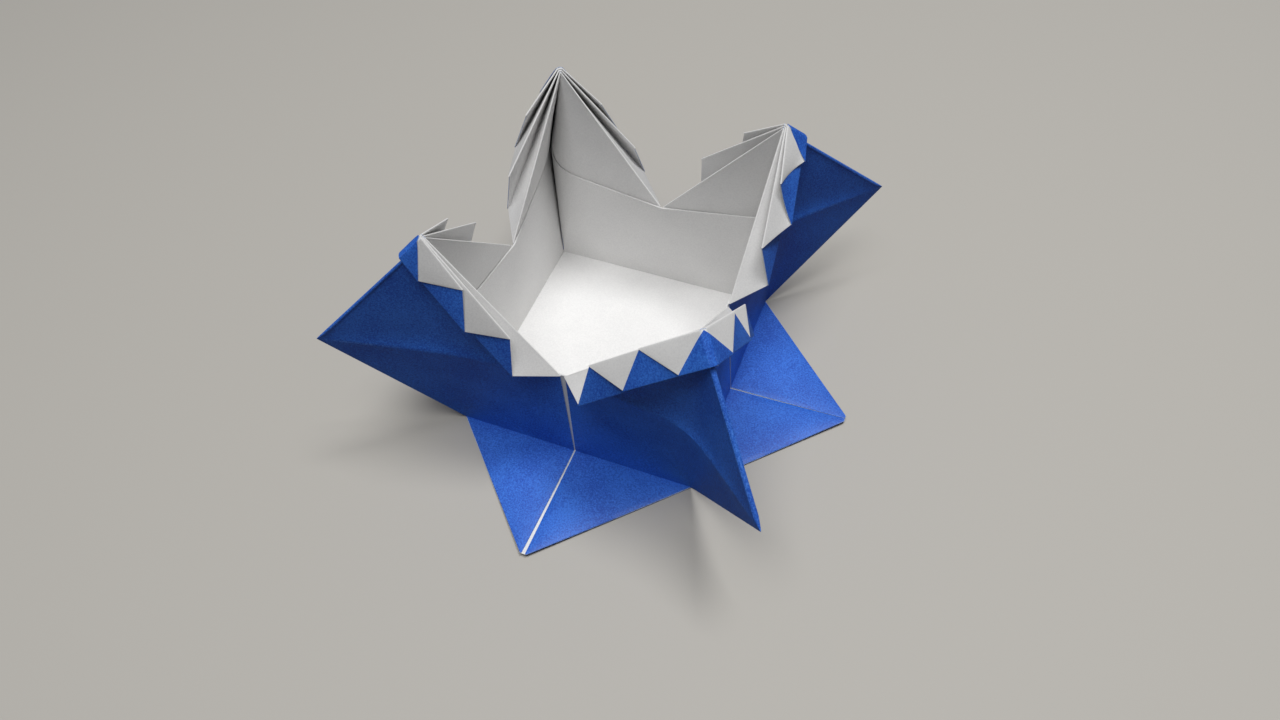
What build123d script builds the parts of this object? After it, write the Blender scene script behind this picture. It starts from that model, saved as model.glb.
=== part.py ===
"""Star box folded from one square sheet of two-colour craft paper, with pleated corners.

The crease pattern lies on a grid of 16 squares a side. Counted from the middle of the sheet, the
floor is the inner 4 by 4 squares. Each wall is 2 squares high and doubled over at its rim, so the
inner face has no seam. The sheet's edges meet in a slit up the outside of every wall, and run on
along the flap that lies flat in front of it. Round each floor corner the spare paper sticks out
as a hollow horn. The sheet's own corner stands up above the horn, pleated like a fan. The fan is
folded in half over the horn's top edge, so one half of it opens along each of the two walls.

Units are millimetres. The origin is the middle of the floor, on the table. Z is up.
"""
from build123d import *
import math
import os

# Paper
sheet_side = 150.0  # the square sheet before folding
paper = 0.12  # one layer
pleat_air = 0.02  # between pleats that are pressed together over a horn
edge_air = 0.10  # between pleats at the sheet's edge, where they spring apart

# Open seams where the sheet's edges meet
slit_foot = 0.25  # at the foot of a wall
slit_rim = 0.75  # at the rim of a wall
flap_gap = 0.60  # at the tip of a flap
tip_blunt = 0.80  # width of the worn tip of a flap

# Crease grid
grid_squares = 16  # along one side of the sheet
grid = sheet_side / grid_squares
half_floor = 2 * grid
flap_reach = 4 * grid
fan_radius = math.sqrt(2) * half_floor

# Where the folded points stand, as ratios to one grid square. Flat and square folding would put
# every rim 2 up, every apex 4 up over its floor corner and every horn tip 2 up and 2 further out.
# Hand folding leaves each a little out of true.
rim_ratios = {
    "near": (0.0, -1.91, 2.0),
    "right": (1.87, 0.14, 2.0),
    "far": (0.15, 1.82, 1.98),
    "left": (-1.87, 0.25, 1.98),
}
apex_ratios = {
    "left": (-1.78, -1.79, 4.20),
    "front": (2.13, -1.86, 3.94),
    "right": (2.04, 2.07, 3.92),
    "back": (-1.58, 2.14, 4.05),
}
horn_ratios = {
    "left": (-3.60, -2.72, 2.38),
    "front": (3.45, -3.34, 2.05),
    "right": (3.48, 3.51, 1.90),
    "back": (-2.72, 3.82, 2.08),
}
belly_ratio = 0.12  # how far a ridge stands out from the wall beside its floor corner
bend_ratio = 0.55  # length of the soft bend in a ridge, each way
bend_steps = 4

pleats = 6  # in each fan, from the rim crease to the sheet's corner
# How each half fan has spread, as degrees swung out from the wall and degrees lifted off the rim
# line, for the crease nearest the rim and for the one nearest the sheet's corner
fan_spread = {
    ("left", "near"): ((4, 3), (11, 2)),
    ("left", "left"): ((2, 0), (8, 25)),
    ("front", "near"): ((5, 4), (12, 13)),
    ("front", "right"): ((4, 1), (18, 16)),
    ("right", "right"): ((2, 0), (18, 16)),
    ("right", "far"): ((5, 1), (23, 15)),
    ("back", "far"): ((11, -7), (16, 6)),
    ("back", "left"): ((1, 2), (14, 25)),
}

floor_corners = {
    "left": (-2, -2, 0),
    "front": (2, -2, 0),
    "right": (2, 2, 0),
    "back": (-2, 2, 0),
}
# Each corner lies between two walls, named anticlockwise as seen from above
corner_walls = {
    "left": ("left", "near"),
    "front": ("near", "right"),
    "right": ("right", "far"),
    "back": ("far", "left"),
}
wall_outward = {
    "near": Vector(0, -1, 0),
    "right": Vector(1, 0, 0),
    "far": Vector(0, 1, 0),
    "left": Vector(-1, 0, 0),
}


# The two layers of a wall, as distances outward from the middle of its outer skin
SKIN = ((-paper / 2, paper / 2),)
LINING = ((-3 * paper / 2, -paper / 2),)


def place(ratios):
    """A point given as ratios to one grid square, in millimetres."""
    return Vector(*ratios) * grid


class FoldedSheet:
    """The middle surface of the folded paper: shared points, and triangles wound blue side out."""

    def __init__(self):
        self.points = []
        self.triangles = []
        self.layers = []

    def point(self, position):
        for index, known in enumerate(self.points):
            if (known - position).length < 1e-6:
                return index
        self.points.append(position)
        return len(self.points) - 1

    def facet(self, corners, layers):
        """Adds a flat or slightly twisted facet, wound either way."""
        ring = [self.point(corner) for corner in corners]
        for i in range(1, len(ring) - 1):
            triangle = (ring[0], ring[i], ring[i + 1])
            if len(set(triangle)) == 3:
                self.triangles.append(triangle)
                self.layers.append(layers)

    def face_outward(self, outward):
        """Winds the first facet to look along outward, and the rest to agree with it."""
        beside = {}
        for index, triangle in enumerate(self.triangles):
            for a, b in sides(triangle):
                beside.setdefault(frozenset((a, b)), []).append(index)
        if self.normal(self.triangles[0]).dot(outward) < 0:
            self.triangles[0] = self.triangles[0][::-1]
        wound = {0}
        waiting = [0]
        while waiting:
            index = waiting.pop()
            for edge in sides(self.triangles[index]):
                for other in beside[frozenset(edge)]:
                    if other in wound:
                        continue
                    if edge in sides(self.triangles[other]):
                        self.triangles[other] = self.triangles[other][::-1]
                    wound.add(other)
                    waiting.append(other)

    def normal(self, triangle):
        a, b, c = (self.points[i] for i in triangle)
        return (b - a).cross(c - a).normalized()

    def shifts(self):
        """For each point, the move that takes it one millimetre off every facet round it."""
        around = [Vector(0, 0, 0) for _ in self.points]
        normals = [[] for _ in self.points]
        for triangle in self.triangles:
            normal = self.normal(triangle)
            for index in triangle:
                normals[index].append(normal)
        for index, found in enumerate(normals):
            total = sum(found, Vector(0, 0, 0)).normalized()
            reach = sum(total.dot(normal) for normal in found) / len(found)
            around[index] = total * (1 / max(reach, 0.5))
        return around

    def thicken(self):
        """The solid paper. Walls where neighbouring pieces of paper meet cancel out."""
        shifts = self.shifts()
        walls = {}

        def wall(*corners):
            key = frozenset(corners)
            if key in walls:
                del walls[key]
            else:
                walls[key] = corners

        for (a, b, c), layers in zip(self.triangles, self.layers):
            for inner, outer in layers:
                wall((a, outer), (b, outer), (c, outer))
                wall((a, inner), (c, inner), (b, inner))
                for p, q in sides((a, b, c)):
                    if p < q:
                        wall((q, outer), (p, outer), (p, inner))
                        wall((q, outer), (p, inner), (q, inner))
                    else:
                        wall((q, outer), (p, outer), (q, inner))
                        wall((p, outer), (p, inner), (q, inner))
        faces = []
        for corners in walls.values():
            ends = [self.on_table(self.points[i] + shifts[i] * level) for i, level in corners]
            faces.append(Face(Wire.make_polygon(ends, close=True)))
        return Solid(Shell(faces))

    def on_table(self, position):
        return Vector(position.X, position.Y, max(position.Z, 0.0))


def sides(triangle):
    a, b, c = triangle
    return [(a, b), (b, c), (c, a)]


def ridge_points(rim, knee, tip):
    """The ridge from a wall's rim to the horn's tip, with a soft bend at the floor corner."""
    start = knee + (rim - knee).normalized() * bend_ratio * grid
    end = knee + (tip - knee).normalized() * bend_ratio * grid
    points = [rim]
    for step in range(bend_steps + 1):
        t = step / bend_steps
        points.append(start * (1 - t) ** 2 + knee * 2 * t * (1 - t) + end * t**2)
    points.append(tip)
    return points


def wall_half(corner, wall):
    """Foot, rim and ridge of the half wall next to a corner."""
    outward = wall_outward[wall]
    foot_corner = place(floor_corners[corner])
    tip = place(horn_ratios[corner])
    middle = outward * half_floor
    along = (foot_corner - middle).normalized()
    foot = middle + along * slit_foot / 2
    rim = place(rim_ratios[wall]) + along * slit_rim / 2
    knee = foot_corner + outward * belly_ratio * grid + Vector(0, 0, 2 * grid)
    return foot, foot_corner, rim, ridge_points(rim, knee, tip)


def add_walls(sheet, corner, wall):
    """The doubled wall below its ridge and the single skin above it, from slit to horn tip."""
    foot, foot_corner, rim, ridge = wall_half(corner, wall)
    apex = place(apex_ratios[corner])
    sheet.facet([foot, foot_corner, ridge[1], rim], LINING + SKIN)
    for start, end in zip(ridge[1:-1], ridge[2:]):
        sheet.facet([foot_corner, start, end], LINING + SKIN)
    for start, end in zip(ridge[:-1], ridge[1:]):
        sheet.facet([apex, start, end], SKIN)


def add_slit(sheet, wall):
    """The lining that shows through the slit in a wall's outer skin."""
    edges = []
    for corner, walls in corner_walls.items():
        if wall in walls:
            foot, foot_corner, rim, ridge = wall_half(corner, wall)
            edges.append((foot, rim))
    (left_foot, left_rim), (right_foot, right_rim) = edges
    sheet.facet([left_foot, right_foot, right_rim, left_rim], LINING)


def horn_frame(corner, wall):
    """The apex, the way down the horn's top edge, the way out of that edge and out of its side."""
    apex = place(apex_ratios[corner])
    down_horn = (place(horn_ratios[corner]) - apex).normalized()
    over_horn = (Vector(0, 0, 1) - down_horn * down_horn.Z).normalized()
    off_side = down_horn.cross(wall_half(corner, wall)[2] - apex).normalized()
    if off_side.dot(wall_outward[wall]) < 0:
        off_side = off_side * -1
    return apex, down_horn, over_horn, off_side


def crest_point(corner, wall, crease, layer):
    """Where a crease of a half fan turns over the blunt top edge of the horn.

    Pressed together there, the pleats run one width down the edge and back up again. The last
    pleat's raw edges meet in the sheet's corner, on the middle of the edge, so beside the edge
    they are as far down as the blunt edge is half wide.
    """
    apex, down_horn, over_horn, off_side = horn_frame(corner, wall)
    lean = over_horn.dot(off_side)
    off_edge = (over_horn + off_side) * (layer * (paper + pleat_air) / (1 + lean))
    depth = fan_radius / pleats if crease % 2 else 0
    if crease == pleats:
        depth = (off_edge - over_horn * off_edge.dot(over_horn)).length
    return apex + down_horn * depth + off_edge


def add_crest(sheet, corner):
    """The narrow strip that joins the two halves of a fan over the horn's top edge."""
    here, there = corner_walls[corner]

    def across(crease, layer):
        return [crest_point(corner, wall, crease, layer) for wall in (here, there)]

    apex, down_horn, over_horn, off_side = horn_frame(corner, here)
    sheet.facet([apex] + across(0, 1), SKIN)
    for k in range(pleats):
        layer = k + 1
        if layer == pleats:
            sheet_corner = apex + over_horn * layer * (paper + pleat_air)
            sheet.facet([sheet_corner] + across(pleats, layer), SKIN)
        sheet.facet(across(k, layer) + across(k + 1, layer)[::-1], SKIN)
        if layer < pleats:
            sheet.facet(across(k + 1, layer) + across(k + 1, layer + 1)[::-1], SKIN)


def add_half_fan(sheet, corner, wall):
    """Pleats folded to and fro behind the rim, from the wall's middle up to the apex."""
    outward = wall_outward[wall]
    rim = wall_half(corner, wall)[2]
    apex, down_horn, over_horn, off_side = horn_frame(corner, wall)
    to_rim = (rim - apex).normalized()
    up_wall = to_rim.cross(outward).normalized()
    if up_wall.Z < 0:
        up_wall = up_wall * -1
    spread_start, spread_end = fan_spread[corner, wall]
    apart = off_side * (paper + edge_air)

    def crest(crease, layer):
        return crest_point(corner, wall, crease, layer)

    def raw_end(crease, layer):
        """Where a crease reaches the sheet's edge."""
        if crease == 0:
            return rim + apart
        if crease == pleats:
            return crest(crease, layer)
        t = crease / pleats
        swing, rise = (math.tan(math.radians(a + (b - a) * t)) for a, b in zip(spread_start, spread_end))
        heading = (to_rim + outward * swing + up_wall * rise).normalized()
        reach = fan_radius * (1 - t)
        return crest(crease, crease + 0.5) + heading * reach + apart * (layer - crease - 0.5)

    sheet.facet([rim, apex, crest(0, 1), raw_end(0, 1)], SKIN)
    for k in range(pleats):
        layer = k + 1
        inner_crease = [crest(k, layer), raw_end(k, layer)]
        outer_crease = [raw_end(k + 1, layer), crest(k + 1, layer)]
        sheet.facet(inner_crease + outer_crease, SKIN)
        if layer < pleats:
            turned = [raw_end(k + 1, layer + 1), crest(k + 1, layer + 1)]
            sheet.facet(outer_crease[::-1] + turned, SKIN)


def base():
    """Floor one layer thick, and four doubled flaps with their open seams."""
    floor = Box(2 * half_floor, 2 * half_floor, paper, align=(Align.CENTER, Align.CENTER, Align.MIN))
    blunt = tip_blunt / 2
    outline = Polyline(
        (half_floor, -half_floor),
        (half_floor, half_floor),
        (flap_reach - blunt, blunt),
        (flap_reach - blunt, -blunt),
        close=True,
    )
    flap = extrude(make_face(outline), 2 * paper)
    seam_outline = Polyline(
        (half_floor, -slit_foot / 2),
        (flap_reach, -flap_gap / 2),
        (flap_reach, flap_gap / 2),
        (half_floor, slit_foot / 2),
        close=True,
    )
    seam = Pos(0, 0, paper) * extrude(make_face(seam_outline), paper)
    flap = flap - seam
    return floor + [Rot(0, 0, 90 * turn) * flap for turn in range(4)]


def folded_walls():
    """Everything that stands on the base: walls, horns and fans, as one piece of paper."""
    sheet = FoldedSheet()
    for corner, walls in corner_walls.items():
        for wall in walls:
            add_walls(sheet, corner, wall)
            add_half_fan(sheet, corner, wall)
        add_crest(sheet, corner)
    for wall in wall_outward:
        add_slit(sheet, wall)
    sheet.face_outward(wall_outward[corner_walls["left"][0]])
    return sheet.thicken()


if __name__ == "__main__":
    os.makedirs("parts", exist_ok=True)
    walls = folded_walls()
    print("walls", walls.is_valid, round(walls.volume, 2), len(walls.faces()))
    body = base() + walls
    print("solids", len(body.solids()), "volume", round(body.volume, 2), "faces", len(body.faces()))
    export_step(body, "parts/folded_sheet.step")
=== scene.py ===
# %% [markdown]
# A star box folded from one square of two-colour craft paper, blue on one side and white on the
# other. The box has a square floor, four walls, four flat flaps round its foot, a hollow horn at
# each corner and a pleated fan over each horn.
#
# The measured solid of the box comes first. It fixes the sizes and stays as it is. The mesh that
# shows the paper is then folded from the same sizes, with finer steps than the solid has.

import math

import bmesh
import bpy
from mathutils import Matrix, Vector


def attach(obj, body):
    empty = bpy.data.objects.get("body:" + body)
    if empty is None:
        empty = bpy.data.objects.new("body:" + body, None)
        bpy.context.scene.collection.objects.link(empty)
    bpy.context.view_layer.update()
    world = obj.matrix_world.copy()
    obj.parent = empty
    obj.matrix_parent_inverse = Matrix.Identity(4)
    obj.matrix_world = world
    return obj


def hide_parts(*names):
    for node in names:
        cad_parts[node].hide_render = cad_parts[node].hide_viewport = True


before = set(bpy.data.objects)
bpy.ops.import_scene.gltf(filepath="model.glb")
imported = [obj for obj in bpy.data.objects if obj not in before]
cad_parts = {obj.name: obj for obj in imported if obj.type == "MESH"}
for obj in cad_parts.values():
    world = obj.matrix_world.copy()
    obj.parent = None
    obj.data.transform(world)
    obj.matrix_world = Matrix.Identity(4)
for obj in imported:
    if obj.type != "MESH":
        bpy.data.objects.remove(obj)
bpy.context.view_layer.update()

# %% [markdown]
# The camera stands where the photograph was taken from: in front of one flap, a little to the
# right, looking down at 54 degrees from about 16 cm. So near a small object, the perspective is
# strong, and a longer lens from further off would flatten the box. The camera is set by its place
# and three angles, because a Track To constraint wouldn't allow the small roll of a hand-held
# shot.

# %% Camera
camera_data = bpy.data.cameras.new("photo_camera")
camera_data.lens = 26.65
camera_data.sensor_width = 36
camera_data.clip_start = 0.005
camera = bpy.data.objects.new("photo_camera", camera_data)
bpy.context.scene.collection.objects.link(camera)
camera_azimuth, camera_elevation, camera_roll = 25.52, 53.77, -5.21
camera.rotation_euler = (
    Matrix.Rotation(math.radians(camera_azimuth), 4, "Z")
    @ Matrix.Rotation(math.radians(90 - camera_elevation), 4, "X")
    @ Matrix.Rotation(math.radians(camera_roll), 4, "Z")
).to_euler()
camera.location = (0.04242, -0.08176, 0.12448)
bpy.context.scene.camera = camera
view_direction = camera.matrix_basis.to_3x3() @ Vector((0, 0, -1))
print("camera looks along", [round(c, 3) for c in view_direction])

# %% [markdown]
# Every crease of the real box lies on a grid of 16 squares along a side of the sheet. So the
# sizes hang together: the floor is 4 squares, a wall 2, a flap 2, and a fan reaches as far as the
# diagonal of 2 squares. Writing them from the sheet keeps them true to each other.
#
# The last values are the small gaps of hand folding: the width of the slit up a wall at its foot
# and at its rim, how far apart the halves of each flap lie at the tip, and how blunt that tip is.

# %% Sizes of the sheet
MM = 0.001
sheet_side = 150 * MM
paper = 0.10 * MM
grid = sheet_side / 16
half_floor = 2 * grid
wall_height = 2 * grid
flap_reach = 4 * grid
fan_radius = math.sqrt(2) * half_floor
slit_foot, slit_rim = 0.18 * MM, 0.75 * MM
seam_gaps = {"near": 0.60 * MM, "right": 0.12 * MM, "far": 0.50 * MM, "left": 0.50 * MM}
tip_blunt = 0.88 * MM
print("grid square, mm:", round(grid / MM, 3))

# %% [markdown]
# Hand folding leaves each corner a little different. These are the places of the folded points,
# in grid squares: where each wall's rim, each fan's point and each horn's tip came to stand.
# corner_walls names the two walls that meet at each corner, and wall_outward is the way each wall
# faces.

# %% Where the folded points stand
rims = {
    "near": (0.0, -1.91, 2.0),
    "right": (1.87, 0.14, 2.0),
    "far": (0.15, 1.82, 1.98),
    "left": (-1.87, 0.25, 1.98),
}
apexes = {
    "left": (-1.78, -1.79, 4.20),
    "front": (2.13, -1.86, 3.94),
    "right": (2.04, 2.07, 3.92),
    "back": (-1.58, 2.14, 4.05),
}
horn_tips = {
    "left": (-3.60, -2.72, 2.38),
    "front": (3.45, -3.34, 2.05),
    "right": (3.48, 3.51, 1.90),
    "back": (-2.72, 3.82, 2.08),
}
floor_corners = {
    "left": (-2, -2, 0),
    "front": (2, -2, 0),
    "right": (2, 2, 0),
    "back": (-2, 2, 0),
}
corner_walls = {
    "left": ("left", "near"),
    "front": ("near", "right"),
    "right": ("right", "far"),
    "back": ("far", "left"),
}
wall_outward = {
    "near": Vector((0, -1, 0)),
    "right": Vector((1, 0, 0)),
    "far": Vector((0, 1, 0)),
    "left": Vector((-1, 0, 0)),
}


def place(squares):
    """A point given in grid squares, in metres."""
    return Vector(squares) * grid


tip_reaches = [place(tip).xy.length for tip in horn_tips.values()]
print("horn tips reach, mm:", [round(reach / MM, 1) for reach in tip_reaches])

# %% [markdown]
# Paper bends but doesn't stretch, so each panel between folds is close to a ruled surface: a set
# of straight lines from one edge to another. A patch is therefore built from two edges and the
# straight lines between them. A sculpted or subdivided blob would look like rubber.
#
# The first and last steps along a line are narrow, only worn_width wide. So a value for wear and
# painted highlight, which is up to 1 on a fold and 0 beside it, stays close to the fold. Later it
# lightens the paper's colour. On cut edges and folds this is worn ink. Along the ridges and the top
# edges of the horns it is a painted highlight.

# %% Places along a line
worn_width = 0.22 * MM
widest_border = 0.2
crease_count = 16
# The width of the painted highlight along a wall's ridge.
ridge_highlight_band = 0.40 * MM


def steps(count, length):
    """Places along a line of that length, from 0 to 1, with a narrow step at each end."""
    border = min(widest_border, worn_width / max(length, worn_width))
    inner = [border + (1 - 2 * border) * i / count for i in range(count + 1)]
    return [0.0, *inner, 1.0]


def line(start, end, places):
    """Points on a straight line."""
    return [start.lerp(end, t) for t in places]


def hump(t):
    """0 at both ends of the way from 0 to 1, and 1 in the middle."""
    return 4 * t * (1 - t)


def late_hump(t):
    """0 at both ends of the way from 0 to 1, with its low top close to 1."""
    return t**8 * (1 - t)


crease_steps = steps(crease_count, wall_height)
panel_steps = [*crease_steps[:-2], 1 - ridge_highlight_band / wall_height, 1.0]
print("narrow step on a crease, mm:", round(crease_steps[1] * wall_height / MM, 2))

# %% [markdown]
# A patch can be bent a little. A bulge lifts its middle, as in a flap that has sprung up between
# its folds. A curl bends each line just before its far end, as paper does beside a fold. Both are
# 0 on the edges, so neighbouring patches still meet.

# %% Ruled patches of paper
unmarked = (0, 0, 0, 0)


def new_surface():
    """An empty surface whose points can carry wear."""
    surface = bmesh.new()
    surface.verts.layers.float.new("wear_and_highlight")
    return surface


def add_patch(
    surface, first_edge, last_edge, across, wear_and_highlight=unmarked, bulge=None, curl=None, last_line=None
):
    """Straight lines from first_edge to last_edge, two lists of as many points.

    wear is for the first edge, the last edge, the first line and the last line, and for the last
    edge it may be a list. bulge moves the middle of the patch. curl has a vector for each line,
    and bends it near its end. last_line may give the last line's points, where it isn't straight.
    The new points come back in rows, one row for each line.
    """
    layer = surface.verts.layers.float["wear_and_highlight"]
    last = len(first_edge) - 1
    last_wear = wear_and_highlight[1] if isinstance(wear_and_highlight[1], list) else [wear_and_highlight[1]] * len(first_edge)
    rows = []
    for i, (start, end) in enumerate(zip(first_edge, last_edge)):
        row = []
        for j, t in enumerate(across):
            point = start.lerp(end, t)
            if last_line and i == last:
                point = last_line[j].copy()
            elif bulge:
                point += bulge * hump(i / last) * hump(t)
            elif curl:
                point += curl[i] * late_hump(t)
            vertex = surface.verts.new(point)
            at_edges = (j == 0, j == len(across) - 1, i == 0, i == last)
            amounts = (wear_and_highlight[0], last_wear[i], wear_and_highlight[2], wear_and_highlight[3])
            vertex[layer] = max(amount * there for amount, there in zip(amounts, at_edges))
            row.append(vertex)
        rows.append(row)
    for here, there in zip(rows, rows[1:]):
        for j in range(len(across) - 1):
            surface.faces.new((here[j], there[j], there[j + 1], here[j + 1]))
    return rows


def move(rows, moved):
    """Moves the points of a patch, each to moved(its place)."""
    for row in rows:
        for vertex in row:
            vertex.co = moved(vertex.co)


print("points on each line of a patch beside a crease:", len(crease_steps))

# %% [markdown]
# A piece of the sheet becomes an object in three moves. Points that lie on each other are joined,
# so that the patches share their folds. All faces are turned to show their blue side one way. The
# Solidify modifier then gives the paper its thickness, and its material offsets paint the back
# white and the cut edge a greyish blue: the core's colour, darkened by painted shade. Modelling
# both faces by hand would double the work, and the two sides could part.

# %% From surface to paper
sharp_fold = math.radians(33)
joined_within, collapsed_below = 0.004 * MM, 0.002 * MM
paper_sides = ("blue_side", "white_side", "cut_edge")
paper_materials = [bpy.data.materials.new(name) for name in paper_sides]


def paper_object(name, surface, blue_towards):
    """Makes the surface an object. blue_towards is the way its first face shows its blue side."""
    surface.faces.ensure_lookup_table()
    first_place = surface.faces[0].calc_center_median()
    bmesh.ops.remove_doubles(surface, verts=surface.verts, dist=joined_within)
    bmesh.ops.dissolve_degenerate(surface, edges=surface.edges, dist=collapsed_below)
    bmesh.ops.recalc_face_normals(surface, faces=surface.faces)
    first = min(surface.faces, key=lambda face: (face.calc_center_median() - first_place).length)
    if first.normal.dot(blue_towards) < 0:
        bmesh.ops.reverse_faces(surface, faces=surface.faces)
    for face in surface.faces:
        face.smooth = True
    for edge in surface.edges:
        edge.smooth = edge.is_manifold and edge.calc_face_angle(0) < sharp_fold
    mesh = bpy.data.meshes.new(name)
    surface.to_mesh(mesh)
    surface.free()
    for material in paper_materials:
        mesh.materials.append(material)
    piece = bpy.data.objects.new(name, mesh)
    bpy.context.scene.collection.objects.link(piece)
    thickness = piece.modifiers.new("thickness", "SOLIDIFY")
    thickness.thickness = paper
    thickness.offset = 0
    thickness.material_offset = 1
    thickness.material_offset_rim = 2
    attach(piece, "root")
    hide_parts("folded_sheet")
    print(name, "faces", len(mesh.polygons))


print("paper is", round(paper / MM, 2), "mm thick and has", len(paper_materials), "materials")

# %% [markdown]
# Each wall has a ridge: a fold that starts at the middle of the rim, runs level to the floor
# corner, and turns there to the tip of the horn. On the real box this turn is soft, because the
# paper isn't creased across it. A quadratic curve between the two straight runs gives that turn.
# Its middle point stands out from the wall by belly, and each run ends at a distance of bend from
# that point.

# %% The ridge of a wall
belly = 0.12 * grid
bend = 0.55 * grid
ridge_count, turn_count, horn_count = 12, 14, 12
last_horn_step = 0.94


def ridge_line(corner, wall):
    """Points from the wall's rim to the horn's tip: the level run, the turn and the horn."""
    outward = wall_outward[wall]
    foot_corner = place(floor_corners[corner])
    along = (foot_corner - outward * half_floor).normalized()
    rim = place(rims[wall]) + along * slit_rim / 2
    knee = foot_corner + outward * belly + Vector((0, 0, wall_height))
    tip = place(horn_tips[corner])
    start = knee + (rim - knee).normalized() * bend
    end = knee + (tip - knee).normalized() * bend
    level = line(rim, start, steps(ridge_count, (start - rim).length))
    turn = []
    for step in range(1, turn_count):
        t = step / turn_count
        turn.append(start * (1 - t) ** 2 + knee * 2 * t * (1 - t) + end * t**2)
    horn_places = [last_horn_step * i / horn_count for i in range(horn_count + 1)]
    return level, turn, line(end, tip, [*horn_places, 1.0])


print("ridge points:", sum(len(part) for part in ridge_line("front", "near")))

# %% [markdown]
# The corner of the sheet stands above the horn as a fan of six pleats. Its creases run side by
# side, folded to and fro, and the whole fan is folded in half over the horn's top edge. There the
# pleats are pressed together, and run one width down the edge and back up again. Each layer goes
# round the layers below it, so this crest is blunt, and wider in the outer layers. The sheet's own
# corner ends up on the middle of the outermost one.

# %% Where the creases reach the crest
pleats = 6
pleat_width = fan_radius / pleats
pleat_pitch = 0.13 * MM


def horn_frame(corner, wall):
    """The fan's point, the way down the horn's top edge, and the ways out of its edge and side."""
    apex = place(apexes[corner])
    down_horn = (place(horn_tips[corner]) - apex).normalized()
    over_horn = (Vector((0, 0, 1)) - down_horn * down_horn.z).normalized()
    off_side = down_horn.cross(ridge_line(corner, wall)[0][0] - apex).normalized()
    if off_side.dot(wall_outward[wall]) < 0:
        off_side = -off_side
    return apex, down_horn, over_horn, off_side


def crest_point(corner, wall, crease, layer):
    """Where a crease of a half fan reaches the crest."""
    apex, down_horn, over_horn, off_side = horn_frame(corner, wall)
    off_edge = (over_horn + off_side) * (layer * pleat_pitch / (1 + over_horn.dot(off_side)))
    depth = pleat_width if crease % 2 else 0
    if crease == pleats:
        depth = (off_edge - over_horn * off_edge.dot(over_horn)).length
    return apex + down_horn * depth + off_edge


crest_ends = [crest_point("left", wall, pleats - 1, pleats) for wall in corner_walls["left"]]
print("width of a crest, mm:", round((crest_ends[0] - crest_ends[1]).length / MM, 2))

# %% [markdown]
# Over the crest each crease is a short arc from one half of the fan to the other. Patches between
# these arcs are the pressed pleats, and narrow ones between two layers are their folds.

# %% The crest of a fan
crest_places = (0, 0.25, 0.5, 0.75, 1)
crest_roundness = 0.09
crest_wear = 0.3
straight_across = (0.0, 1.0)
pressed_steps = steps(4, pleat_width)


def add_crest(surface, corner):
    """The narrow rounded strips that join the two halves of a fan."""
    here, there = corner_walls[corner]
    apex, down_horn, over_horn, _ = horn_frame(corner, here)

    def over(crease, layer):
        start, end = (crest_point(corner, wall, crease, layer) for wall in (here, there))
        height = (end - start).length * crest_roundness
        rises = [over_horn * height * math.sin(math.pi * t) for t in crest_places]
        return [start.lerp(end, t) + rise for t, rise in zip(crest_places, rises)]

    add_patch(surface, [apex] * len(crest_places), over(0, 1), straight_across)
    for k in range(pleats):
        layer = k + 1
        wear_and_highlight = (crest_wear, crest_wear, 0, 0)
        add_patch(surface, over(k, layer), over(k + 1, layer), pressed_steps, wear_and_highlight=wear_and_highlight)
        if layer < pleats:
            add_patch(surface, over(k + 1, layer), over(k + 1, layer + 1), straight_across)
    outermost = over(pleats, pleats)
    crest_middle = outermost[len(crest_places) // 2]
    sheet_corner = crest_middle - down_horn * (outermost[-1] - outermost[0]).length / 2
    add_patch(surface, outermost, [sheet_corner] * len(crest_places), straight_across)


print("pressed pleats over each crest:", pleats)

# %% [markdown]
# Where one pleat turns into the next, the paper goes round a small half circle, so a fold shows as
# a fine soft line and not as a knife's edge. The half circle is made of a few narrow strips, which
# smooth shading rounds off. The top edge of a horn is made by the same helper further on.

# %% The turn of a fold


def add_turn(surface, here, there, out_of_fold, strips, wear_and_highlight):
    """A half circle of paper in narrow strips, from one line of points to another."""
    rows = []
    for i in range(strips + 1):
        angle = math.pi * i / strips
        row = []
        for a, b in zip(here, there):
            middle, radius = (a + b) / 2, (b - a).length / 2
            outward = out_of_fold * radius * math.sin(angle)
            row.append(middle + (a - middle) * math.cos(angle) + outward)
        rows.append(row)
    for start, end in zip(rows, rows[1:]):
        add_patch(surface, start, end, straight_across, wear_and_highlight=wear_and_highlight)


# %% [markdown]
# From the crest each crease runs out to the sheet's cut edge. The fan has spread a few degrees
# since it was let go: swing is how far a crease leans out from the wall, and rise how far it has
# lifted off the rim. Each pair of numbers in fan_spread is swing and rise in degrees, for the
# crease at the rim and for the one at the crest. The turn over the crest takes a little of each
# crease, which over_crest gives for each horn. The cut edge crosses the pleats at 45 degrees,
# which gives the row of teeth.
#
# A pleat is a strip between two creases, with a very slight bow. All pleats bow the same way, or
# they would pass through each other near the crest. On one half fan the cut edges of the outer
# pleats have curled in, as edge_flare gives for each pleat.
#
# Half a fan is built from the rim inwards: the fold that joins it to the wall, then pleat after
# pleat, each with the fold to the next one. The folds turn up and down by turns.

# %% The pleats of half a fan
fan_spread = {
    ("left", "near"): ((4, 3), (11, 2)),
    ("left", "left"): ((2, 0), (8, 25)),
    ("front", "near"): ((5, 4), (12, 13)),
    ("front", "right"): ((4, 1), (18, 16)),
    ("right", "right"): ((2, 0), (18, 16)),
    ("right", "far"): ((5, 1), (23, 15)),
    ("back", "far"): ((11, -7), (16, 6)),
    ("back", "left"): ((0, 2), (21, 25)),
}
over_crest = {"left": 0.7 * MM, "front": 0.0, "right": 1.0 * MM, "back": 0.7 * MM}
edge_flare = {("right", "right"): [flare * MM for flare in (0, 0.03, 0.12, 0.28, 0.42, 0.20)]}
pleat_bow = 0.08 * MM
pleat_steps = steps(6, pleat_width)
turn_width = 0.14 * MM
turn_strips = 6
fan_wear, cut_wear = 0.35, 0.2


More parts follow.
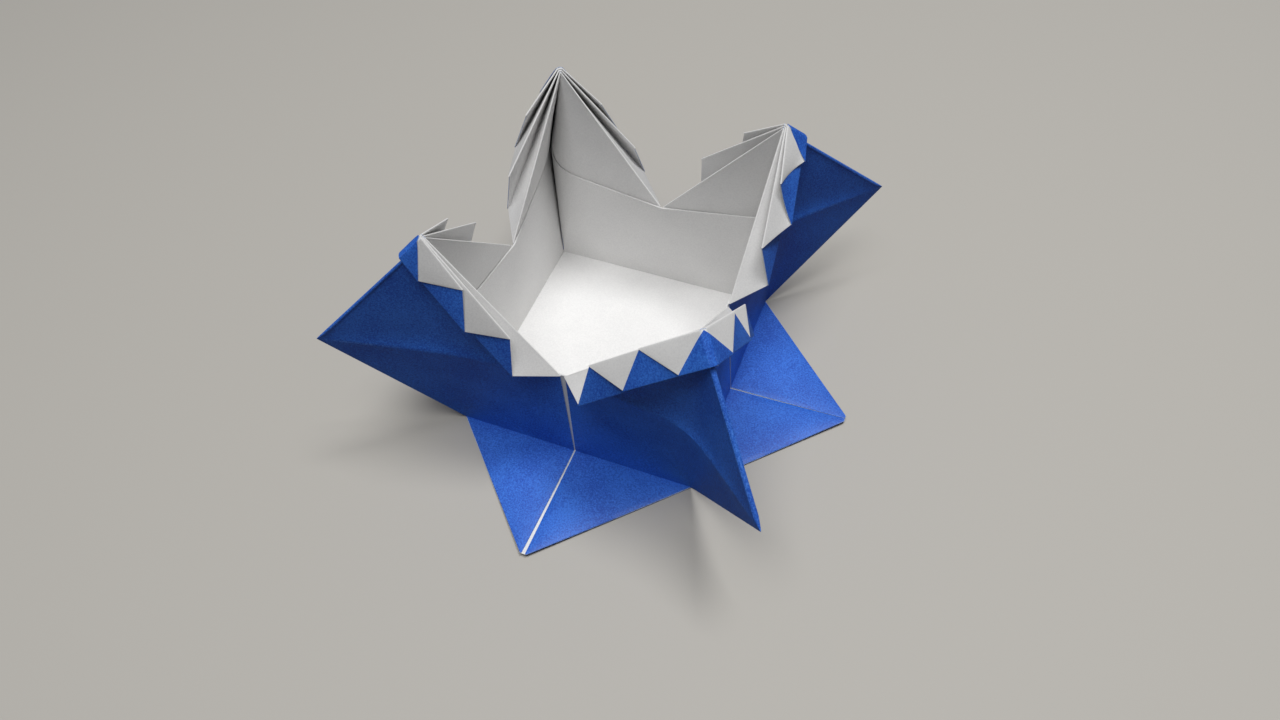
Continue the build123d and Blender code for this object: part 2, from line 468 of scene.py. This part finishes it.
def add_half_fan(surface, corner, wall):
    """The half of a fan that opens along a wall, from the rim up to the fan's point."""
    outward = wall_outward[wall]
    rim = ridge_line(corner, wall)[0][0]
    apex, _, _, off_side = horn_frame(corner, wall)
    to_rim = (rim - apex).normalized()
    up_wall, up_side = to_rim.cross(outward).normalized(), to_rim.cross(off_side).normalized()
    if up_wall.z < 0:
        up_wall, up_side = -up_wall, -up_side
    spread_start, spread_end = fan_spread[corner, wall]

    def edge_point(crease, layer):
        """Where a crease ends. Its two layers lie on either side of its fold."""
        if crease == 0:
            return rim + off_side * turn_width
        if crease == pleats:
            return crest_point(corner, wall, crease, layer)
        t = crease / pleats
        swing, rise = (
            math.tan(math.radians(a + (b - a) * t)) for a, b in zip(spread_start, spread_end)
        )
        heading = (to_rim + outward * swing + up_wall * rise).normalized()
        reach = fan_radius * (1 - t) - over_crest[corner]
        fold = crest_point(corner, wall, crease, crease + 0.5) + heading * reach
        return fold + off_side * turn_width * (layer - crease - 0.5)

    def crease_line(crease, layer):
        crest = crest_point(corner, wall, crease, layer)
        return line(crest, edge_point(crease, layer), crease_steps)

    turn_wear = (fan_wear, fan_wear, 0, 0)
    rim_line = line(apex, rim, crease_steps)
    add_turn(surface, rim_line, crease_line(0, 1), up_side, turn_strips, turn_wear)
    pleat_wear = (fan_wear, fan_wear, 0, cut_wear)
    bow = off_side * pleat_bow
    flares = edge_flare.get((corner, wall), [0] * pleats)
    for k in range(pleats):
        layer = k + 1
        inner, outer = crease_line(k, layer), crease_line(k + 1, layer)
        rows = add_patch(surface, inner, outer, pleat_steps, wear_and_highlight=pleat_wear, bulge=bow)
        for along, row in zip(crease_steps, rows):
            for sideways, vertex in zip(pleat_steps, row):
                vertex.co -= off_side * flares[k] * along**2 * hump(sideways)
        if layer < pleats:
            next_inner = crease_line(k + 1, layer + 1)
            out_of_fold = up_side * (-1 if layer % 2 else 1)
            add_turn(surface, outer, next_inner, out_of_fold, turn_strips, turn_wear)


print("fan radius, mm:", round(fan_radius / MM, 1), "pleat width, mm:", round(pleat_width / MM, 2))

# %% [markdown]
# The panels sag a little between their folds, so the paper turns outward beside a ridge. That is
# what makes the ridge show, lighter above and darker below. The layers of a wall sag together. On
# the horn the paper beside the ridge bends towards the other side, and less and less towards the
# tip, where the two sides come close.

# %% How the panels sag and curl
wall_sag = 0.28 * MM
ridge_curl = 14
wall_bend, horn_bend = 0.40 * MM, 0.75 * MM
bend_per_length = 0.1
bend_per_gap = 0.42


def sagged(point, wall):
    """A point of a wall below its ridge, moved in by how far the wall sags there."""
    outward = wall_outward[wall]
    along = abs(point.dot(Vector((outward.y, outward.x, 0)))) / half_floor
    height = min(1, point.z / wall_height)
    if along > 1 or height < 0:
        return point
    return point - outward * wall_sag * math.sin(math.pi * along) ** 2 * hump(height)


def other_wall(corner, wall):
    """The second wall that meets at a corner."""
    return next(name for name in corner_walls[corner] if name != wall)


def curl_beside(corner, wall):
    """For each point of a wall's ridge, how the paper beside it bends in.

    ridge_curl makes up for the low top of late_hump.
    """
    level, turn, horn = ridge_line(corner, wall)
    facing = [point for part in ridge_line(corner, other_wall(corner, wall)) for point in part]
    curl = []
    for i, (point, opposite) in enumerate(zip([*level, *turn, *horn], facing)):
        share = min(1, max(0, (i - len(level)) / len(turn)))
        across = opposite - point
        room = min(
            wall_bend + (horn_bend - wall_bend) * share,
            bend_per_length * (point - level[0]).length,
            bend_per_gap * across.length,
        )
        way_in = -wall_outward[wall] * (1 - share) + across.normalized() * share
        curl.append(way_in.normalized() * ridge_curl * room)
    return curl


half_way = Vector((half_floor / 2, -half_floor, wall_height / 2))
print("a wall sags, mm:", round((half_way - sagged(half_way, "near")).length / MM, 2))

# %% [markdown]
# The paper is springy along the top of a horn, so its fold there is round, not sharp, and catches
# the light as a narrow bright line. Each side of the horn stops short of the edge, and an arc of
# the same sheet joins the two. The arc narrows to nothing at the fan's point and at the tip. Its
# colour is also lightened all along as a painted highlight, most at the tip.

# %% The rounded top edge of a horn
edge_radius = {"left": 0.20 * MM, "front": 0.36 * MM, "right": 0.22 * MM, "back": 0.18 * MM}
narrow_from_apex, narrow_to_tip = 0.2, 0.05
edge_strips = 5
# A painted highlight along the rounded top edge, strongest at the tip.
edge_highlight = (0.45, 0.45, 0.3, 0.8)


def horn_side(corner, wall):
    """The line where a side of the horn stops short of the rounded top edge."""
    apex, down_horn, over_horn, _ = horn_frame(corner, wall)
    tip = place(horn_tips[corner])
    sideways = down_horn.cross(over_horn).normalized()
    if sideways.dot(wall_outward[wall]) < 0:
        sideways = -sideways
    points = []
    for t in crease_steps:
        radius = edge_radius[corner] * min(1, t / narrow_from_apex, (1 - t) / narrow_to_tip)
        points.append(apex.lerp(tip, t) + (sideways - over_horn) * radius)
    return points


def add_horn_edge(surface, corner):
    """The rounded fold along the top of a horn."""
    here, there = (horn_side(corner, wall) for wall in corner_walls[corner])
    _, _, over_horn, _ = horn_frame(corner, corner_walls[corner][0])
    add_turn(surface, here, there, over_horn, edge_strips, edge_highlight)


top_edge = horn_side("front", "near")
print("horn's top edge, mm:", round((top_edge[-1] - top_edge[0]).length / MM, 1))

# %% [markdown]
# A flap is two layers, pressed flat but sprung up a little towards its tip. Both layers are lifted
# by the same rule, so they stay together.

# %% The points of a flap
flap_level = 0.20 * MM
flap_lift = 0.55 * MM
flap_spring = 1.6
foot_steps = steps(ridge_count, half_floor)


def flap_points(corner, wall, height):
    """Half a flap: its foot's middle and end, the way along the foot, and the tip."""
    outward, up = wall_outward[wall], Vector((0, 0, height))
    foot_corner = place(floor_corners[corner]) + up
    middle = outward * half_floor + up
    along = (foot_corner - middle).normalized()
    return middle, foot_corner, along, outward * (flap_reach - tip_blunt / 2) + up


def lifted(point):
    """A point of a flap, raised by how far the flap has sprung up from the table."""
    past_foot = max(abs(point.x), abs(point.y)) - half_floor
    share = max(0.0, past_foot / (flap_reach - half_floor))
    return point + Vector((0, 0, flap_lift * share**flap_spring))


print("a flap's tip stands up, mm:", round(lifted(Vector((flap_reach, 0, 0))).z / MM, 2))

# %% [markdown]
# The sheet's four corners were folded to its middle before the box was formed. Each of these
# quarters shows its blue side. It makes half of two flaps, the outer skin of half of two walls, a
# horn and a fan. Two quarters meet in the slit that runs up each wall.
#
# The lines of the lower panel leave the foot of the wall, and past the floor corner they spread
# from the corner itself. The lines of the upper panel all leave the fan's point, the apex.
#
# Along a ridge the colour is lightened as a painted highlight, over a wider band than the wear at a
# sharp fold, so panel_steps ends in a wider step, and the highlight is stronger where the fold is
# bent more.

# %% Half a wall, half a flap and a side of the horn
# The first three are a painted highlight along the ridge: on its level run, its turn and the horn.
level_highlight, bend_highlight, horn_highlight = 0.2, 0.4, 0.55
foot_wear, slit_wear, rim_wear = 0.4, 0.7, 0.6
apex_wear, lower_edge_wear, top_edge_wear = 0.4, 0.5, 0.2
flap_fold_wear = 0.7
flap_wear = (0.5, 1, 1, flap_fold_wear)
flap_bow = Vector((0, 0, 0.25 * MM))
curl_below, curl_sets_in = 0.6, 4


def add_half_wall(surface, corner, wall):
    """Half a flap, half a wall's skin and one side of the horn."""
    middle, foot_corner, along, tip = flap_points(corner, wall, flap_level)
    level, turn, horn = ridge_line(corner, wall)
    ridge = [*level, *turn, *horn]
    ridge_highlight = [level_highlight] * len(level) + [bend_highlight] * len(turn) + [horn_highlight] * len(horn)
    curl = curl_beside(corner, wall)

    foot_line = line(middle + along * slit_foot / 2, foot_corner, foot_steps)
    wear_and_highlight = (foot_wear, ridge_highlight[: len(level)], slit_wear, 0)
    low_rows = add_patch(surface, foot_line, level, panel_steps, wear_and_highlight=wear_and_highlight)

    rays = ridge[len(level) - 1 :]
    wear_and_highlight = (foot_wear, ridge_highlight[len(level) - 1 :], 0, lower_edge_wear)
    ray_curl = [Vector()] * (len(rays) - len(horn))
    for i, inward in enumerate(curl[-len(horn) :]):
        ray_curl.append(inward * curl_below * min(1, i / curl_sets_in))
    corner_foot = [foot_corner] * len(rays)
    low_rows += add_patch(surface, corner_foot, rays, panel_steps, wear_and_highlight=wear_and_highlight, curl=ray_curl)
    move(low_rows, lambda point: sagged(point, wall))

    apex_foot = [place(apexes[corner])] * len(ridge)
    wear_and_highlight = (apex_wear, ridge_highlight, rim_wear, top_edge_wear)
    side = horn_side(corner, wall)
    add_patch(surface, apex_foot, ridge, panel_steps, wear_and_highlight=wear_and_highlight, curl=curl, last_line=side)

    tip_line = line(tip + along * seam_gaps[wall] / 2, tip + along * tip_blunt / 2, foot_steps)
    flap_rows = add_patch(
        surface, foot_line, tip_line, crease_steps, wear_and_highlight=flap_wear, bulge=flap_bow
    )
    move(flap_rows, lifted)


print("lines in each panel:", len(foot_steps), "over the foot,", len(panel_steps), "points each")

# %% [markdown]
# Now the four quarters are put together, each from two half walls, two half fans, the crest over
# them and the top edge of the horn.

# %% The four quarters
for corner, walls in corner_walls.items():
    surface = new_surface()
    for wall in walls:
        add_half_wall(surface, corner, wall)
        add_half_fan(surface, corner, wall)
    add_crest(surface, corner)
    add_horn_edge(surface, corner)
    paper_object("quarter_" + corner, surface, wall_outward[walls[0]])

# %% [markdown]
# The middle of the sheet lies white side up. It is the floor, and it goes up the inside of every
# wall, over the rim and down again behind the outer skin. So the inside has no seam, the rim is a
# white fold, and the slit shows white. Under the flaps it is their lower layer.
#
# A little of it goes round each corner into the horn. The horn is too narrow for it near the
# floor, so there its foot is cut off higher and higher: foot_cut is the share that goes at the
# end.

# %% The lines of a wall's lining
lining_depth = 0.26 * MM
hidden_depth = 0.13 * MM
lining_foot = paper / 2
foot_cut = 0.45


def lining_lines(corner, wall, depth):
    """Feet and tops of the straight lines of a wall's lining, set in by depth from the skin."""
    outward, up = wall_outward[wall], Vector((0, 0, lining_foot))
    both_out = outward + wall_outward[other_wall(corner, wall)]
    level, turn, horn = ridge_line(corner, wall)
    foot_corner = place(floor_corners[corner])
    inner_corner = foot_corner - both_out * depth + up
    middle = outward * (half_floor - depth) + up
    tops = [place(rims[wall]), *level, *turn, horn[0]]
    feet = line(middle, inner_corner, [i / len(level) for i in range(len(level) + 1)])
    feet += [inner_corner] * (len(tops) - len(feet))
    insides = []
    for i, top in enumerate(tops):
        before, after = tops[max(i - 1, 0)], tops[min(i + 1, len(tops) - 1)]
        inward = (after - before).cross(top - foot_corner).normalized()
        if inward.dot(outward) > 0:
            inward = -inward
        insides.append(top + inward * depth)
        past_wall = max(0, i - len(level)) / (len(tops) - 1 - len(level))
        feet[i] = feet[i].lerp(insides[i], foot_cut * past_wall**2)
    return feet, insides


print("lines in half a lining:", len(lining_lines("front", "near", lining_depth)[0]))

# %% [markdown]
# Half a lining is four patches: up the inside, over the rim in two narrow strips, and down again
# behind the skin. It sags with the skin, so the layers don't part.

# %% The lining of the walls
lining_wear = (0.3, 0, 0, 0)


def add_lining(surface, corner, wall):
    """Half a wall's lining, its fold over the rim and the layer that goes down behind the skin."""
    feet, tops = lining_lines(corner, wall, lining_depth)
    hidden_feet, hidden_tops = lining_lines(corner, wall, hidden_depth)
    up = Vector((0, 0, (lining_depth - hidden_depth) / 2))
    fold = [(a + b) / 2 + up for a, b in zip(tops, hidden_tops)]
    rows = add_patch(surface, feet, tops, crease_steps, wear_and_highlight=lining_wear)
    rows += add_patch(surface, tops, fold, straight_across)
    rows += add_patch(surface, fold, hidden_tops, straight_across)
    rows += add_patch(surface, hidden_tops, hidden_feet, crease_steps)
    move(rows, lambda point: sagged(point, wall))


for wall, outward in wall_outward.items():
    surface = new_surface()
    for corner, walls in corner_walls.items():
        if wall in walls:
            add_lining(surface, corner, wall)
    paper_object("lining_" + wall, surface, outward)

# %% [markdown]
# The floor is one flat patch between its near and its far edge. It lies white side up, so its
# first side, the blue one, looks down.

# %% The floor of the box
floor_count = 24
floor_places = [i / floor_count for i in range(floor_count + 1)]
near_edge, far_edge = (
    line(Vector((-half_floor, y, lining_foot)), Vector((half_floor, y, lining_foot)), floor_places)
    for y in (-half_floor, half_floor)
)
surface = new_surface()
add_patch(surface, near_edge, far_edge, floor_places)
paper_object("floor_sheet", surface, Vector((0, 0, -1)))

# %% [markdown]
# The lower layer of a flap lies on the table, blue side down. A narrow strip up its slanting edge
# is the fold that joins it to the upper layer.

# %% The lower layer of the flaps
lower_flap_wear = (0, 1, 0, flap_fold_wear)


def add_lower_flap(surface, corner, wall):
    """The lower layer of half a flap, and the fold at its edge that joins it to the upper layer."""
    middle, foot_corner, along, tip = flap_points(corner, wall, lining_foot)
    foot_line = line(middle, foot_corner, foot_steps)
    tip_line = line(tip, tip + along * tip_blunt / 2, foot_steps)
    rows = add_patch(surface, foot_line, tip_line, crease_steps, wear_and_highlight=lower_flap_wear)
    lower = line(foot_line[-1], tip_line[-1], crease_steps)
    upper = [point + Vector((0, 0, flap_level - lining_foot)) for point in lower]
    rows += add_patch(surface, lower, upper, (0.0, 0.5, 1.0), wear_and_highlight=(flap_fold_wear,) * 4)
    move(rows, lifted)


for wall, outward in wall_outward.items():
    surface = new_surface()
    for corner, walls in corner_walls.items():
        if wall in walls:
            add_lower_flap(surface, corner, wall)
    paper_object("lower_flap_" + wall, surface, Vector((0, 0, -1)))

# %% [markdown]
# The paper's look is made from noise in the object's own space, at the size of real fibres, so it
# needs no image and no unwrapping. Three small helpers add the nodes that are used again and
# again: noise, a spread of values from one range to another, and a mix of two colours.

# %% Helpers for shader nodes
noise_detail = 4


def add_noise(tree, scale, roughness):
    """Noise in the object's own space."""
    space = tree.nodes.new("ShaderNodeTexCoord")
    noise = tree.nodes.new("ShaderNodeTexNoise")
    noise.inputs["Scale"].default_value = scale
    noise.inputs["Detail"].default_value = noise_detail
    noise.inputs["Roughness"].default_value = roughness
    tree.links.new(space.outputs["Object"], noise.inputs["Vector"])
    return noise.outputs["Fac"]


def add_spread(tree, value, start, end, to_start=0.0, to_end=1.0):
    """The value, spread from the range start to end over the range to_start to to_end."""
    spread = tree.nodes.new("ShaderNodeMapRange")
    spread.inputs["From Min"].default_value = start
    spread.inputs["From Max"].default_value = end
    spread.inputs["To Min"].default_value = to_start
    spread.inputs["To Max"].default_value = to_end
    tree.links.new(value, spread.inputs["Value"])
    return spread.outputs["Result"]


def add_mix(tree, factor, first, second):
    """A mix of two colours. The first may come from another node."""
    mix = tree.nodes.new("ShaderNodeMix")
    mix.data_type = "RGBA"
    if isinstance(first, tuple):
        mix.inputs["A"].default_value = (*first, 1)
    else:
        tree.links.new(first, mix.inputs["A"])
    mix.inputs["B"].default_value = (*second, 1)
    tree.links.new(factor, mix.inputs["Factor"])
    return mix.outputs["Result"]


# %% [markdown]
# Craft paper is printed on one side. The blue ink lies unevenly on the fibres, so the colour has
# fine lighter specks and faint slow clouds. Along the folds the colour turns lighter in a thin
# broken line: there the wear and highlight of each point is multiplied by the specks. On cut edges
# and folds this is worn ink, where the white core shows through. Along the ridges and the top edges
# of the horns it is a painted highlight. The same specks drive the sheen and the relief, because
# all three come from the fibres.

# %% Paper materials
fibre_scale, fibre_roughness = 4200, 0.65
cloud_scale, cloud_roughness = 130, 0.5
fibre_share = 2.5
tone_start, tone_end = 1.4, 2.1
rub_and_highlight_start, rub_and_highlight_end, rub_and_highlight_most = 0.22, 0.5, 0.8
sheen_change = 0.08
fibre_height = 0.04 * MM


def build_paper(material, light, dark, worn_and_highlight, roughness, relief):
    """Gives a material the look of one side of the paper."""
    material.use_nodes = True
    tree = material.node_tree
    shader = tree.nodes["Principled BSDF"]
    shader.inputs["Specular IOR Level"].default_value = 0.5
    fibres = add_noise(tree, fibre_scale, fibre_roughness)

    tone = tree.nodes.new("ShaderNodeMath")
    tone.operation = "MULTIPLY_ADD"
    tree.links.new(fibres, tone.inputs[0])
    tone.inputs[1].default_value = fibre_share
    tree.links.new(add_noise(tree, cloud_scale, cloud_roughness), tone.inputs[2])
    ink = add_mix(tree, add_spread(tree, tone.outputs["Value"], tone_start, tone_end), dark, light)

    wear_and_highlight = tree.nodes.new("ShaderNodeAttribute")
    wear_and_highlight.attribute_name = "wear_and_highlight"
    speckled_wear_and_highlight = tree.nodes.new("ShaderNodeMath")
    speckled_wear_and_highlight.operation = "MULTIPLY"
    tree.links.new(wear_and_highlight.outputs["Fac"], speckled_wear_and_highlight.inputs[0])
    tree.links.new(fibres, speckled_wear_and_highlight.inputs[1])
    # The mask lightens the colour. It is worn ink on cut edges and folds, and a painted highlight
    # on ridges and horn edges.
    rub_and_highlight = add_spread(tree, speckled_wear_and_highlight.outputs["Value"], rub_and_highlight_start, rub_and_highlight_end, 0.0, rub_and_highlight_most)
    tree.links.new(add_mix(tree, rub_and_highlight, ink, worn_and_highlight), shader.inputs["Base Color"])

    sheen = add_spread(tree, fibres, 0.0, 1.0, roughness - sheen_change, roughness + sheen_change)
    tree.links.new(sheen, shader.inputs["Roughness"])
    bump = tree.nodes.new("ShaderNodeBump")
    bump.inputs["Strength"].default_value = relief
    bump.inputs["Distance"].default_value = fibre_height
    tree.links.new(fibres, bump.inputs["Height"])
    tree.links.new(bump.outputs["Normal"], shader.inputs["Normal"])


blue_side, white_side, cut_edge = paper_materials
build_paper(
    blue_side,
    light=(0.042, 0.205, 0.80),
    dark=(0.011, 0.082, 0.49),
    # The lighter blue of worn ink. It also paints the highlight on ridges and horn edges.
    worn_and_highlight=(0.24, 0.44, 0.86),
    roughness=0.50,
    relief=0.55,
)
build_paper(
    white_side,
    light=(0.875, 0.87, 0.86),
    dark=(0.80, 0.795, 0.79),
    worn_and_highlight=(0.89, 0.885, 0.87),
    roughness=0.65,
    relief=0.4,
)
# The cut edge is a greyish blue, darker than the white core: painted shade.
build_paper(
    cut_edge,
    light=(0.55, 0.63, 0.80),
    dark=(0.40, 0.50, 0.74),
    worn_and_highlight=(0.70, 0.74, 0.84),
    roughness=0.75,
    relief=0.3,
)
print("nodes in each paper material:", len(blue_side.node_tree.nodes))

# %% [markdown]
# The light comes from almost straight above: one lamp a little behind and to the right, and a
# broader one over the camera, which reaches the teeth of the fans. So the floor of the box and the
# flaps are bright and the walls are in shade. A weak light from all round keeps the shade from
# going black.

# %% Light
aim_point = Vector((0, 0, 0.015))


def soft_light(name, position, size, power):
    """A round area light that looks at the middle of the box."""
    data = bpy.data.lights.new(name, "AREA")
    data.shape = "DISK"
    data.size = size
    data.energy = power
    light = bpy.data.objects.new(name, data)
    light.location = position
    aim = aim_point - Vector(position)
    light.rotation_euler = aim.to_track_quat("-Z", "Y").to_euler()
    bpy.context.scene.collection.objects.link(light)


soft_light("overhead", (0.13, 0.13, 0.62), size=0.20, power=1.75)
soft_light("over the camera", (0.0, -0.12, 0.66), size=0.36, power=2.12)

world = bpy.data.worlds.new("studio")
world.use_nodes = True
background = world.node_tree.nodes["Background"]
background.inputs["Color"].default_value = (0.92, 0.94, 1.0, 1)
background.inputs["Strength"].default_value = 0.10
bpy.context.scene.world = world
print("lamps:", [light.name for light in bpy.data.lights])

# %% [markdown]
# The box rests on a plain pale table. It looks pale to the camera and is darker to all other rays,
# or it would throw so much light up that the walls would be as bright as the flaps.

# %% Table
table_mesh = bpy.data.meshes.new("table_top")
table_form = bmesh.new()
bmesh.ops.create_grid(table_form, x_segments=1, y_segments=1, size=3)
table_form.to_mesh(table_mesh)
table_form.free()
table_top = bpy.data.objects.new("table_top", table_mesh)
bpy.context.scene.collection.objects.link(table_top)
table_material = bpy.data.materials.new("pale_table")
table_material.use_nodes = True
tree = table_material.node_tree
rays = tree.nodes.new("ShaderNodeLightPath")
to_others, to_camera = (0.12, 0.115, 0.105), (0.50, 0.48, 0.44)
shade = add_mix(tree, rays.outputs["Is Camera Ray"], to_others, to_camera)
tree.links.new(shade, tree.nodes["Principled BSDF"].inputs["Base Color"])
tree.nodes["Principled BSDF"].inputs["Roughness"].default_value = 0.7
table_mesh.materials.append(table_material)
bpy.context.scene.view_settings.view_transform = "Standard"
print("table, m:", [round(side, 1) for side in table_top.dimensions.xy])
